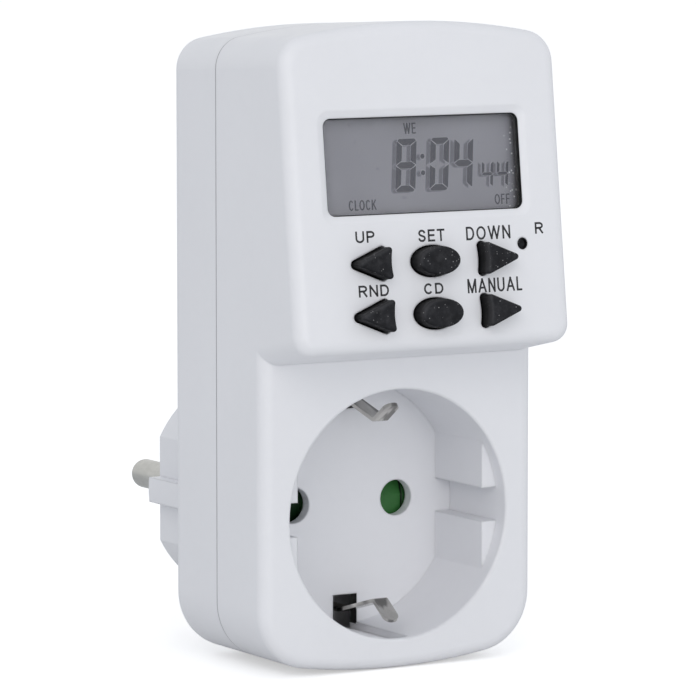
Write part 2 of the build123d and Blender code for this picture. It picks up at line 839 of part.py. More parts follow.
# The six rubber keys, each with a flange behind the panel and a stem that presses a dome
for name, (kind, side, across, up) in key_spots.items():
    with BuildPart() as key:
        with BuildSketch(panel_plane(-key_rise)):
            with Locations((across, up)):
                add(key_outline(kind, side, 0))
        extrude(amount=-key_rise - key_flange_depth)
        tops = key.faces().filter_by(
            lambda f: f.geom_type == GeomType.PLANE and f.normal_at().Y < -0.9
        )
        fillet(tops.sort_by(Axis.Y)[0].edges(), key_edge_round)
        with BuildSketch(panel_plane(key_flange_depth)):
            with Locations((across, up)):
                add(key_outline(kind, side, key_border))
        extrude(amount=-key_flange)
        with BuildSketch(panel_plane(key_stem_depth)):
            with Locations((across, up)):
                Circle(key_stem_diameter / 2)
        extrude(amount=key_stem_depth - key_stem_end)
    key.part.label = name
    export_step(key.part, f"parts/{name}.step")

# Reset button, sunk below its hole
with BuildPart() as reset_button:
    with BuildSketch(panel_plane(reset_sink)):
        with Locations((reset_x, reset_mark)):
            Circle(reset_stem_diameter / 2)
    extrude(amount=reset_sink - reset_stem_end)
    with BuildSketch(panel_plane(key_flange_depth)):
        with Locations((reset_x, reset_mark)):
            Circle(reset_flange_diameter / 2)
    extrude(amount=-key_flange)
reset_button.part.label = "reset_button"
export_step(reset_button.part, "parts/reset_button.step")

# Guide plate between the keys and their board
with BuildPart() as key_guide:
    with BuildSketch(panel_plane(guide_plate_depth + guide_plate_thickness)):
        with Locations((0, (guide_low + guide_high) / 2)):
            Rectangle(guide_width, guide_high - guide_low)
    extrude(amount=guide_plate_thickness)
    with BuildSketch(panel_plane(dome_depth - screw_gap)):
        with Locations((0, (guide_rim_low + guide_high) / 2)):
            Rectangle(guide_width, guide_high - guide_rim_low)
        inner_low, inner_high = guide_rim_low - overshoot, guide_high - guide_wall
        with Locations((0, (inner_low + inner_high) / 2)):
            inner_width = guide_width - 2 * guide_wall
            Rectangle(inner_width, inner_high - inner_low, mode=Mode.SUBTRACT)
    extrude(amount=dome_depth - wall - 2 * screw_gap)
    with BuildSketch(panel_plane(board_depth)):
        with Locations(*stem_spots):
            Circle(key_stem_diameter / 2 + joint_gap)
        with Locations((reset_x, reset_mark)):
            Circle(reset_stem_diameter / 2 + joint_gap)
        with Locations(*board_spots()):
            Circle(board_post_diameter / 2 + joint_gap)
    extrude(amount=board_depth, mode=Mode.SUBTRACT)
key_guide.part.label = "key_guide"
export_step(key_guide.part, "parts/key_guide.step")

# Sheet with a snap dome under each stem
with BuildPart() as dome_sheet:
    with BuildSketch(panel_plane(board_depth)):
        with Locations((0, (guide_low + guide_high) / 2)):
            Rectangle(guide_width, guide_high - guide_low)
        with Locations(*board_spots()):
            Circle(board_post_diameter / 2 + joint_gap, mode=Mode.SUBTRACT)
    extrude(amount=dome_sheet_thickness)
    with BuildSketch(panel_plane(dome_depth)):
        with Locations(*stem_spots):
            Circle(dome_diameter / 2)
        with Locations((reset_x, reset_mark)):
            Circle(reset_flange_diameter / 2)
    extrude(amount=dome_height)
dome_sheet.part.label = "dome_sheet"
export_step(dome_sheet.part, "parts/dome_sheet.step")

# Control board with its parts
with BuildPart() as control_board:
    with BuildSketch(panel_plane(board_back)):
        with Locations((0, (board_low + board_high) / 2)):
            Rectangle(board_width, board_high - board_low)
        notch_width_here = board_width / 2 - board_notch_x
        notch_height_here = board_high - board_notch_mark
        for notch_side in (-1, 1):
            notch_x = notch_side * (board_notch_x + notch_width_here / 2)
            with Locations((notch_x, board_high - notch_height_here / 2)):
                Rectangle(notch_width_here, notch_height_here, mode=Mode.SUBTRACT)
        with Locations(*board_spots()):
            Circle(board_screw_diameter / 2 + joint_gap, mode=Mode.SUBTRACT)
    extrude(amount=board_thickness)
control_board.part.label = "control_board"
export_step(control_board.part, "parts/control_board.step")

with BuildPart() as board_screws:
    with BuildSketch(panel_plane(board_back)):
        with Locations(*board_spots()):
            Circle(board_head_diameter / 2)
    extrude(amount=-board_head_height)
    with BuildSketch(panel_plane(board_back)):
        with Locations(*board_spots()):
            Circle(board_screw_diameter / 2)
    extrude(amount=board_thickness + board_screw_grip)
    with BuildSketch(panel_plane(board_back + board_head_height)):
        with Locations(*board_spots()):
            Rectangle(board_screw_diameter, drive_slot_width)
    extrude(amount=board_head_height / 2, mode=Mode.SUBTRACT)
board_screws.part.label = "board_screws"
export_step(board_screws.part, "parts/board_screws.step")

with BuildPart() as controller_chip:
    with BuildSketch(panel_plane(board_back + chip_thickness)):
        with Locations((0, chip_mark)):
            Rectangle(chip_size, chip_size)
    extrude(amount=chip_thickness)
controller_chip.part.label = "controller_chip"
export_step(controller_chip.part, "parts/controller_chip.step")

with BuildPart() as quartz_crystal:
    with BuildSketch(panel_plane(board_back + crystal_diameter / 2)):
        with Locations((crystal_x, crystal_mark)):
            Rectangle(crystal_diameter / 2, crystal_length, align=(Align.MIN, Align.CENTER))
    crystal_axis = panel_plane(board_back + crystal_diameter / 2)
    crystal_spot = crystal_axis.from_local_coords((crystal_x, crystal_mark, 0))
    turning_line = Axis(crystal_spot, crystal_axis.y_dir)
    revolve(axis=turning_line)
quartz_crystal.part.label = "quartz_crystal"
export_step(quartz_crystal.part, "parts/quartz_crystal.step")

with BuildPart() as backup_battery:
    with BuildSketch(panel_plane(board_back + battery_height)):
        with Locations((battery_x, window_mark)):
            Circle(battery_diameter / 2)
    extrude(amount=battery_height)
backup_battery.part.label = "backup_battery"
export_step(backup_battery.part, "parts/backup_battery.step")

# Power board with its parts
with BuildPart() as power_board:
    with BuildSketch(facing_front(power_back_y)):
        with Locations((0, (power_low + power_high) / 2)):
            Rectangle(power_width, power_high - power_low)
        notch_width_here = power_width / 2 - power_notch_x
        notch_height_here = power_high - power_notch_z
        for notch_side in (-1, 1):
            notch_x = notch_side * (power_notch_x + notch_width_here / 2)
            with Locations((notch_x, power_high - notch_height_here / 2)):
                Rectangle(notch_width_here, notch_height_here, mode=Mode.SUBTRACT)
        with Locations(*power_spots()):
            Circle(board_screw_diameter / 2 + joint_gap, mode=Mode.SUBTRACT)
    extrude(amount=power_thickness)
power_board.part.label = "power_board"
export_step(power_board.part, "parts/power_board.step")

with BuildPart() as power_screws:
    with BuildSketch(facing_front(power_front_y)):
        with Locations(*power_spots()):
            Circle(board_head_diameter / 2)
    extrude(amount=board_head_height)
    with BuildSketch(facing_front(power_front_y)):
        with Locations(*power_spots()):
            Circle(board_screw_diameter / 2)
    extrude(amount=-power_thickness - board_screw_grip)
    with BuildSketch(facing_front(power_front_y - board_head_height)):
        with Locations(*power_spots()):
            Rectangle(board_screw_diameter, drive_slot_width)
    extrude(amount=-board_head_height / 2, mode=Mode.SUBTRACT)
power_screws.part.label = "power_screws"
export_step(power_screws.part, "parts/power_screws.step")

relay_x = edge_gap - (power_width - relay_width) / 2
with BuildPart() as relay:
    with BuildSketch(facing_front(power_front_y)):
        with Locations((relay_x, part_row_z + relay_height / 2)):
            Rectangle(relay_width, relay_height)
    extrude(amount=relay_depth)
relay.part.label = "relay"
export_step(relay.part, "parts/relay.step")

film_x = relay_x + (relay_width + film_width) / 2 + component_gap
film_top_z = power_low + component_gap + film_height
with BuildPart() as film_capacitor:
    with BuildSketch(facing_front(power_front_y)):
        with Locations((film_x, film_top_z - film_height / 2)):
            Rectangle(film_width, film_height)
    extrude(amount=film_depth)
film_capacitor.part.label = "film_capacitor"
export_step(film_capacitor.part, "parts/film_capacitor.step")

smoothing_x = film_x + (film_width + smoothing_diameter) / 2 + component_gap
with BuildPart() as smoothing_capacitor:
    with BuildSketch(facing_front(power_front_y)):
        with Locations((smoothing_x, part_row_z + smoothing_diameter / 2)):
            Circle(smoothing_diameter / 2)
    extrude(amount=smoothing_height)
smoothing_capacitor.part.label = "smoothing_capacitor"
export_step(smoothing_capacitor.part, "parts/smoothing_capacitor.step")

varistor_z = relay_top_z + component_gap + varistor_thickness / 2
varistor_y = power_front_y - varistor_diameter / 2 - joint_gap
with BuildPart() as varistor:
    with BuildSketch(Plane.XY.offset(varistor_z - varistor_thickness / 2)):
        with Locations((varistor_x, varistor_y)):
            Circle(varistor_diameter / 2)
    extrude(amount=varistor_thickness)
    with BuildSketch(facing_front(power_front_y)):
        for tail_side in (-1, 1):
            with Locations((varistor_x + tail_side * varistor_diameter / 4, varistor_z)):
                Circle(tail_diameter / 2)
    extrude(amount=varistor_diameter / 2)
varistor.part.label = "varistor"
export_step(varistor.part, "parts/varistor.step")

resistor_y = power_front_y - resistor_diameter / 2 - joint_gap
resistor_z = film_top_z + component_gap + tail_reach + resistor_length / 2
with BuildPart() as dropper_resistor:
    with BuildSketch(Plane.XY.offset(resistor_z - resistor_length / 2)):
        with Locations((resistor_x, resistor_y)):
            Circle(resistor_diameter / 2)
    extrude(amount=resistor_length)
    with BuildSketch(Plane.XY.offset(resistor_z - resistor_length / 2 - tail_reach)):
        with Locations((resistor_x, resistor_y)):
            Circle(tail_diameter / 2)
    extrude(amount=resistor_length + 2 * tail_reach)
    with BuildSketch(facing_front(power_front_y)):
        tail_offset = resistor_length / 2 + tail_reach - tail_diameter / 2
        for tail_side in (-1, 1):
            with Locations((resistor_x, resistor_z + tail_side * tail_offset)):
                Circle(tail_diameter / 2)
    extrude(amount=power_front_y - resistor_y + tail_diameter / 2)
dropper_resistor.part.label = "dropper_resistor"
export_step(dropper_resistor.part, "parts/dropper_resistor.step")

diode_y = power_front_y - diode_diameter / 2 - joint_gap
for place in range(diode_count):
    diode_z = diode_low_z + place * diode_pitch
    with BuildPart() as rectifier_diode:
        with BuildSketch(Plane.YZ.offset(-diode_length / 2)):
            with Locations((diode_y, diode_z)):
                Circle(diode_diameter / 2)
        extrude(amount=diode_length)
        with BuildSketch(Plane.YZ.offset(-diode_length)):
            with Locations((diode_y, diode_z)):
                Circle(tail_diameter / 2)
        extrude(amount=2 * diode_length)
        with BuildSketch(facing_front(power_front_y)):
            tail_offset = diode_length - tail_diameter / 2
            with Locations((-tail_offset, diode_z), (tail_offset, diode_z)):
                Circle(tail_diameter / 2)
        extrude(amount=power_front_y - diode_y + tail_diameter / 2)
    rectifier_diode.part.label = f"rectifier_diode_{place + 1}"
    export_step(rectifier_diode.part, f"parts/rectifier_diode_{place + 1}.step")

transistor_z = varistor_z + varistor_thickness / 2 + component_gap + transistor_diameter / 2
with BuildPart() as driver_transistor:
    with BuildSketch(facing_front(power_front_y - transistor_lift)):
        with Locations((varistor_x, transistor_z)):
            Circle(transistor_diameter / 2)
        with Locations((varistor_x, transistor_z - transistor_diameter * 0.6)):
            Rectangle(transistor_diameter, transistor_diameter / 2, mode=Mode.SUBTRACT)
    extrude(amount=transistor_height)
    with BuildSketch(facing_front(power_front_y)):
        for leg in (-1, 0, 1):
            with Locations((varistor_x + leg * transistor_pitch, transistor_z)):
                Circle(tail_diameter / 4)
    extrude(amount=transistor_lift + overshoot)
driver_transistor.part.label = "driver_transistor"
export_step(driver_transistor.part, "parts/driver_transistor.step")

# Flat ribbon cable between the two boards
with BuildPart() as ribbon_cable:
    ribbon_ends = panel_plane(board_back + screw_gap)
    board_end = ribbon_ends.from_local_coords((0, board_high - ribbon_inset, 0))
    board_lead = ribbon_ends.from_local_coords((0, board_high - ribbon_inset, -overshoot))
    start_y = power_front_y - screw_gap
    start_z = diode_high_z + diode_diameter / 2 + ribbon_thickness
    run, climb = board_lead.Y - start_y + overshoot, board_lead.Z - start_z
    bow = [
        (start_y - overshoot + run * s, start_z + climb * s + 4 * ribbon_bow * s * (1 - s))
        for s in (0, 0.1, 0.2, 0.35, 0.5, 0.65, 0.8, 0.9, 1)
    ]
    with BuildSketch(Plane.YZ.offset(-ribbon_width / 2)):
        add(
            bent_strip(
                [(start_y, start_z), *bow, (board_end.Y, board_end.Z)],
                ribbon_thickness,
            )
        )
    extrude(amount=ribbon_width)
ribbon_cable.part.label = "ribbon_cable"
export_step(ribbon_cable.part, "parts/ribbon_cable.step")

# Shutter that hides the pin holes and turns on the pivot behind the recess floor
with BuildPart() as shutter:
    with BuildSketch(facing_front(shutter_y + shutter_thickness)):
        with Locations((0, socket_rise)):
            SlotOverall(shutter_length, shutter_width)
            Circle(pivot_diameter / 2 + pivot_gap, mode=Mode.SUBTRACT)
    extrude(amount=shutter_thickness)
    for side in (-1, 1):
        with BuildSketch(Plane.YZ.offset(side * shutter_width)):
            with BuildLine():
                edge = socket_rise + side * shutter_width / 2
                Polyline(
                    (shutter_y, socket_rise + side * joint_gap),
                    (shutter_y + shutter_ramp, edge),
                    (shutter_y, edge),
                    close=True,
                )
            make_face()
        extrude(amount=side * shutter_width * 1.2, mode=Mode.SUBTRACT)
shutter.part.label = "shutter"
export_step(shutter.part, "parts/shutter.step")

spring_touch_z = socket_rise + shutter_width / 2 + spring_thickness + 3 * screw_gap
with BuildPart() as shutter_spring:
    with BuildSketch(facing_front(shutter_y + (shutter_thickness + spring_width) / 2)):
        add(
            bent_strip(
                [
                    (spring_root_x + spring_block_width / 2, spring_level),
                    (spring_bend_x, spring_level),
                    (spring_touch_x, spring_touch_z),
                    (spring_tip_x, spring_touch_z + spring_tip_lift),
                ],
                spring_thickness,
            )
        )
    extrude(amount=spring_width)
shutter_spring.part.label = "shutter_spring"
export_step(shutter_spring.part, "parts/shutter_spring.step")

# Carrier behind the shutter, with a nest for each contact
with BuildPart() as contact_carrier:
    with BuildSketch(facing_front(carrier_back_y)):
        with Locations((0, socket_rise)):
            carrier_width = 2 * (carrier_post_x + carrier_border)
            Rectangle(carrier_width, 2 * (carrier_post_z + carrier_border))
    extrude(amount=carrier_thickness)
    with BuildSketch(facing_front(carrier_back_y + nest_depth)):
        nest_x = contact_mouth + 2 * contact_sheet + 2 * joint_gap
        nest_z = contact_width + 2 * joint_gap
        with Locations((-pin_x, socket_rise), (pin_x, socket_rise)):
            Rectangle(nest_x + 2 * nest_wall, nest_z + 2 * nest_wall)
            Rectangle(nest_x, nest_z, mode=Mode.SUBTRACT)
    extrude(amount=nest_depth)
    with BuildSketch(facing_front(carrier_back_y)):
        with Locations((-pin_x, socket_rise), (pin_x, socket_rise)):
            Circle(pin_hole_diameter / 2)
        with Locations((0, socket_rise)):
            Circle(pivot_diameter / 2 + joint_gap)
        with Locations(*carrier_spots()):
            Circle(board_screw_diameter / 2 + joint_gap)
    extrude(amount=carrier_thickness, mode=Mode.SUBTRACT)
contact_carrier.part.label = "contact_carrier"
export_step(contact_carrier.part, "parts/contact_carrier.step")

with BuildPart() as carrier_screws:
    with BuildSketch(facing_front(carrier_back_y + board_head_height)):
        with Locations(*carrier_spots()):
            Circle(board_head_diameter / 2)
    extrude(amount=board_head_height)
    with BuildSketch(facing_front(carrier_back_y)):
        with Locations(*carrier_spots()):
            Circle(board_screw_diameter / 2)
    extrude(amount=carrier_thickness + carrier_screw_grip)
    with BuildSketch(facing_front(carrier_back_y + board_head_height)):
        with Locations(*carrier_spots()):
            Rectangle(board_screw_diameter, drive_slot_width)
    extrude(amount=board_head_height / 2, mode=Mode.SUBTRACT)
carrier_screws.part.label = "carrier_screws"
export_step(carrier_screws.part, "parts/carrier_screws.step")


def contact_loop(centre, base_depth):
    """A spring contact seen from above: two leaves that pinch the pin, and their base."""
    wide = (contact_mouth + contact_sheet) / 2
    narrow = (contact_pinch + contact_sheet) / 2
    front = carrier_back_y + joint_gap
    back = -base_depth
    points = [
        (-wide, front),
        (-wide, front + leaf_straight),
        (-narrow, front + leaf_straight + leaf_slope),
        (-wide, front + leaf_straight + 2 * leaf_slope),
        (-wide, back),
    ]
    far = [(-x, y) for x, y in reversed(points)]
    return bent_strip([(centre + x, y) for x, y in points + far], contact_sheet)


def solder_tag(x, low_z):
    """A solder tag that reaches from a contact up past its lead."""
    high_z = lead_z + lead_diameter / 2 + tag_margin
    with BuildSketch() as tag:
        with Locations((x, (low_z + high_z) / 2)):
            Rectangle(tag_width, high_z - low_z)
    return tag.sketch_local


# Contact of the switched live side, held in its nest
load_x = lead_spread - pin_x
with BuildPart() as live_contact:
    with BuildSketch(Plane.XY.offset(socket_rise - contact_width / 2)):
        add(contact_loop(-pin_x, live_base))
    extrude(amount=contact_width)
    with BuildSketch(facing_front(contact_sheet / 2 - live_base)):
        add(solder_tag(load_x, socket_rise))
    extrude(amount=contact_sheet)
live_contact.part.label = "live_contact"
export_step(live_contact.part, "parts/live_contact.step")

# Contact of the neutral side, riveted to its plug pin
with BuildPart() as neutral_contact:
    with BuildSketch(Plane.XY.offset(socket_rise - contact_width / 2)):
        add(contact_loop(pin_x, rivet_seat + contact_sheet / 2))
    extrude(amount=contact_width)
    with BuildSketch(facing_front(-rivet_seat)):
        add(solder_tag(pin_x, socket_rise))
    extrude(amount=contact_sheet)
    with BuildSketch(facing_front(-rivet_seat)):
        with Locations((pin_x, 0)):
            Circle(rivet_diameter / 2)
    extrude(amount=contact_sheet, mode=Mode.SUBTRACT)
neutral_contact.part.label = "neutral_contact"
export_step(neutral_contact.part, "parts/neutral_contact.step")

# Tab riveted to the live plug pin
supply_x = -pin_x - lead_spread
with BuildPart() as live_tab:
    with BuildSketch(facing_front(-rivet_seat)):
        with Locations((-pin_x, 0)):
            Rectangle(pin_head_diameter, contact_width)
        add(solder_tag(supply_x, socket_rise))
        with Locations((-pin_x, 0)):
            Circle(rivet_diameter / 2, mode=Mode.SUBTRACT)
    extrude(amount=contact_sheet)
live_tab.part.label = "live_tab"
export_step(live_tab.part, "parts/live_tab.step")

# Insulated leads from the solder tags up to the power board
lead_runs = {
    "live_lead": (supply_x, -rivet_seat - contact_sheet),
    "load_lead": (load_x, -live_base - contact_sheet / 2),
    "neutral_lead": (pin_x, -rivet_seat - contact_sheet),
}
lead_y = power_back_y + lead_diameter / 2 + joint_gap
for name, (lead_x, tag_y) in lead_runs.items():
    with BuildPart() as lead:
        with BuildLine():
            FilletPolyline(
                (lead_x, tag_y - screw_gap, lead_z),
                (lead_x, lead_y, lead_z),
                (lead_x, lead_y, power_low + lead_overlap),
                radius=lead_bend,
            )
        with BuildSketch(facing_front(tag_y - screw_gap)):
            with Locations((lead_x, lead_z)):
                Circle(lead_diameter / 2)
        sweep()
    lead.part.label = name
    export_step(lead.part, f"parts/{name}.step")

# Earth strap: a bar inside the housing and an arm along each side of the plug
earth_arm = plug_diameter / 2 - earth_recess_depth + earth_sheet / 2 + screw_gap
with BuildPart() as earth_strap:
    with BuildSketch(Plane.YZ.offset(-earth_width / 2)):
        arm_end = -earth_recess_end - 2 * joint_gap
        bar_line = earth_bar_y - earth_sheet / 2
        add(
            bent_strip(
                [
                    (arm_end, -earth_arm),
                    (bar_line, -earth_arm),
                    (bar_line, earth_arm),
                    (arm_end, earth_arm),
                ],
                earth_sheet,
            )
        )
    extrude(amount=earth_width)
earth_strap.part.label = "earth_strap"
export_step(earth_strap.part, "parts/earth_strap.step")

# Earth clips: each flexes outwards from its foot behind the recess floor
foot_line = earth_bar_y - earth_sheet - joint_gap - clip_sheet / 2
clip_root = recess_diameter / 2 - clip_root_inset
clip_points = [
    (foot_line, clip_root - clip_foot),
    (foot_line, clip_root),
    (floor_y, clip_root),
    (socket_y + clip_bend_depth, recess_diameter / 2 - clip_bend_inset),
    (socket_y + clip_tip_depth, recess_diameter / 2 - clip_tip_inset),
]
with BuildPart() as earth_clip_top:
    with BuildSketch(Plane.YZ.offset(-clip_width / 2)):
        add(bent_strip([(y, socket_rise + r) for y, r in clip_points], clip_sheet))
    extrude(amount=clip_width)
    tip_edges = earth_clip_top.faces().sort_by(Axis.Y)[0].edges()
    fillet(tip_edges.filter_by(Axis.X, reverse=True), clip_tip_round)
    bend_edges = earth_clip_top.edges().filter_by(Axis.X).filter_by(
        lambda e: abs(e.center().Y - socket_y - clip_bend_depth) < clip_sheet
    )
    fillet(bend_edges, clip_bend_round)
earth_clip_top.part.label = "earth_clip_top"
export_step(earth_clip_top.part, "parts/earth_clip_top.step")

with BuildPart() as earth_clip_bottom:
    add(earth_clip_top.part.mirror(Plane.XY.offset(socket_rise)))
earth_clip_bottom.part.label = "earth_clip_bottom"
export_step(earth_clip_bottom.part, "parts/earth_clip_bottom.step")

# Screws that close the case from behind
head_seat = back_y - case_well_depth
with BuildPart() as case_screws:
    with BuildSketch(facing_front(head_seat + case_head_height)):
        with Locations(*case_spots()):
            Circle(case_head_diameter / 2)
    extrude(amount=case_head_height)
    with BuildSketch(facing_front(head_seat)):
        with Locations(*case_spots()):
            Circle(case_screw_diameter / 2)
    extrude(amount=case_screw_length - case_head_height)
    with BuildSketch(facing_front(head_seat + case_head_height)):
        with Locations(*case_spots()):
            Rectangle(cross_length, cross_width)
            Rectangle(cross_width, cross_length)
    extrude(amount=cross_depth, mode=Mode.SUBTRACT)
case_screws.part.label = "case_screws"
export_step(case_screws.part, "parts/case_screws.step")
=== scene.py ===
import json
import math
import bpy
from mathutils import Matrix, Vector


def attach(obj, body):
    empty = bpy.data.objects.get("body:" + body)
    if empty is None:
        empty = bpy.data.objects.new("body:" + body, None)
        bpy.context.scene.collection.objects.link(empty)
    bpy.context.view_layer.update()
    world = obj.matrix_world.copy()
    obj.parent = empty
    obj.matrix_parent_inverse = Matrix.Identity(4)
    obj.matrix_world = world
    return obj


# Looks of the plug-in timer. Blender's lengths are metres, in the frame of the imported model:
# origin at the centre of the plug's end face, +X right, +Y into the wall, +Z up.
# Places and sizes below are written in mm and multiplied by MM where Blender takes them.
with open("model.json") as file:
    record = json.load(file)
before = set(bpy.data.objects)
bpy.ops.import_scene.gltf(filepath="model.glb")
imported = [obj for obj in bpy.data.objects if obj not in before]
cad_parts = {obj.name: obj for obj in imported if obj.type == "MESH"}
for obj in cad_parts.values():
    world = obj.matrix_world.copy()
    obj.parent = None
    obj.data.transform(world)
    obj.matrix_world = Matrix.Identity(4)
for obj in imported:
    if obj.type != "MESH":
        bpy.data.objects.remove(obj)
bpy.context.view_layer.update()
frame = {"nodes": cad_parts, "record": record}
nodes = frame["nodes"]
MM = 0.001

# Panel surface: the point at mark 0, the direction up it and the direction out of it
LEAN = math.radians(6.8)
PANEL_UP = Vector((0, math.sin(LEAN), math.cos(LEAN)))
PANEL_OUT = Vector((0, -math.cos(LEAN), math.sin(LEAN)))
PANEL_ORIGIN = Vector((0, -59.5, 41.203))

# Places that the materials need
SEAM_Y = -35.1
SOCKET_RISE = 0.5
SEAM_ENDS_AT = (22.4, 22.6)
CLIP_SLOT = {"y": -31.54, "rise": 17.4, "half_width": 2.3, "half_depth": 0.98, "half_height": 2.5}
KEY_SHOULDER = (65.2, 66.3)
SHUTTER_SHADED_TO = (-6.6, -5.6)
SHUTTER_GROOVE_X = 12.1
GLASS_DUST_FROM = (15.5, 15.8)
GLASS_SHADE_FROM = (16.5, 18.1)

# Places that the pieces made here need
GLASS_DEPTH = 3.0
WINDOW = {"x": -0.4, "mark": 15.0, "width": 35.2, "height": 15.0, "corner": 1.3}
RESET_HOLE = (16.45, 2.0)
FLOOR_Z = -24.1
FLOOR_HALF_SIDE = 4000.0


def on_panel(x, mark, depth=0.0):
    """A point on the panel, in metres: x across, mark up it and depth behind it, in mm."""
    point = PANEL_ORIGIN + Vector((x, 0, 0)) + PANEL_UP * mark - PANEL_OUT * depth
    return point * MM


def in_metres(pair):
    return pair[0] * MM, pair[1] * MM


def show(thing):
    """Adds an object to the scene."""
    bpy.context.scene.collection.objects.link(thing)
    return thing


# Camera, fitted to the photograph
camera = show(bpy.data.objects.new("camera", bpy.data.cameras.new("camera")))
camera.location = (-0.387197, -0.688873, 0.107014)
camera.rotation_euler = (math.radians(83.872), 0, math.radians(-30.578))
camera.data.lens = 248.65
camera.data.sensor_width = 36
camera.data.clip_start = 0.01
camera.data.clip_end = 20
bpy.context.scene.camera = camera
bpy.context.scene.view_settings.view_transform = "Standard"


class Nodes:
    """Short calls for building a node tree."""

    def __init__(self, tree):
        self.tree = tree

    def node(self, kind, **settings):
        made = self.tree.nodes.new(kind)
        for key, value in settings.items():
            setattr(made, key, value)
        return made

    def link(self, output, target):
        self.tree.links.new(output, target)

    def put(self, target, value):
        """Links a socket, or sets a plain value."""
        if isinstance(value, bpy.types.NodeSocket):
            self.link(value, target)
        else:
            target.default_value = value

    def math(self, operation, first, second=0.0):
        made = self.node("ShaderNodeMath", operation=operation)
        self.put(made.inputs[0], first)
        self.put(made.inputs[1], second)
        return made.outputs[0]


class Shader(Nodes):
    """A material's nodes, placed by the object's own coordinates."""

    def __init__(self, name):
        self.material = bpy.data.materials.new(name)
        self.material.use_nodes = True
        super().__init__(self.material.node_tree)
        self.shader = self.tree.nodes["Principled BSDF"]
        self.place = self.node("ShaderNodeTexCoord").outputs["Object"]

    def axis(self, name):
        split = self.node("ShaderNodeSeparateXYZ")
        self.link(self.place, split.inputs[0])
        return split.outputs[name]

    def stretched(self, scale):
        mapping = self.node("ShaderNodeMapping")
        mapping.inputs["Scale"].default_value = scale
        self.link(self.place, mapping.inputs["Vector"])
        return mapping.outputs["Vector"]

    def noise(self, scale, detail=4.0, rough=0.55, place=None):
        made = self.node("ShaderNodeTexNoise")
        made.inputs["Scale"].default_value = scale
        made.inputs["Detail"].default_value = detail
        made.inputs["Roughness"].default_value = rough
        self.link(place or self.place, made.inputs["Vector"])
        return made.outputs["Fac"]

    def ramp(self, value, source, target):
        """The value's source range turned into the target range, held at its ends."""
        made = self.node("ShaderNodeMapRange")
        self.link(value, made.inputs["Value"])
        made.inputs["From Min"].default_value, made.inputs["From Max"].default_value = source
        made.inputs["To Min"].default_value, made.inputs["To Max"].default_value = target
        return made.outputs["Result"]

    def near(self, value, middle, full, none, most=1.0):
        """The most within a distance of the middle, 0 beyond another distance."""
        apart = self.math("ABSOLUTE", self.math("SUBTRACT", value, middle))
        return self.ramp(apart, (full, none), (most, 0.0))

    def specks(self, scale, size, share):
        """Small separate spots: 1 inside a spot. The share is how many cells hold one."""
        cells = self.node("ShaderNodeTexVoronoi")
        cells.inputs["Scale"].default_value = scale
        self.link(self.place, cells.inputs["Vector"])
        spot = self.ramp(cells.outputs["Distance"], (size * 0.5, size), (1.0, 0.0))
        split = self.node("ShaderNodeSeparateColor")
        self.link(cells.outputs["Color"], split.inputs["Color"])
        chosen = self.ramp(split.outputs["Red"], (share - 0.01, share), (1.0, 0.0))
        return self.math("MULTIPLY", spot, chosen)

    def mix(self, factor, first, second):
        made = self.node("ShaderNodeMix", data_type="RGBA")
        self.put(made.inputs["Factor"], factor)
        self.put(made.inputs["A"], (*first, 1) if isinstance(first, tuple) else first)
        self.put(made.inputs["B"], (*second, 1) if isinstance(second, tuple) else second)
        return made.outputs["Result"]

    def mottled(self, colour, spread, scale):
        """The colour, a little darker and lighter from place to place."""
        dark = tuple(c * (1 - spread) for c in colour)
        light = tuple(min(1.0, c * (1 + spread)) for c in colour)
        share = self.ramp(self.noise(scale), (0.3, 0.7), (0.0, 1.0))
        return self.mix(share, dark, light)

    def along(self, way, vector=None):
        """How far a vector, or else the surface's normal, goes the given way."""
        vector = vector or self.node("ShaderNodeNewGeometry").outputs["Normal"]
        made = self.node("ShaderNodeVectorMath", operation="DOT_PRODUCT")
        self.link(vector, made.inputs[0])
        made.inputs[1].default_value = tuple(way)
        return made.outputs["Value"]

    def rounded(self, radius):
        """The normal, softened as if the edges were round."""
        soft = self.node("ShaderNodeBevel", samples=4)
        soft.inputs["Radius"].default_value = radius
        return soft.outputs["Normal"]

    def finish(self, colour, rough, rough_scale, bump=None, normal=None, **sockets):
        """Rough is the middle and the spread. Bump is a height, its depth and its strength."""
        self.put(self.shader.inputs["Base Color"], colour)
        middle, spread = rough
        uneven = self.noise(rough_scale, 5.0)
        varied = self.ramp(uneven, (0.3, 0.7), (middle - spread, middle + spread))
        self.link(varied, self.shader.inputs["Roughness"])
        if bump is not None:
            height, depth, strength = bump
            made = self.node("ShaderNodeBump")
            made.inputs["Distance"].default_value = depth * MM
            made.inputs["Strength"].default_value = strength
            self.link(height, made.inputs["Height"])
            if normal is not None:
                self.link(normal, made.inputs["Normal"])
            self.link(made.outputs["Normal"], self.shader.inputs["Normal"])
        for key, value in sockets.items():
            self.shader.inputs[key.replace("_", " ")].default_value = value
        return self.material


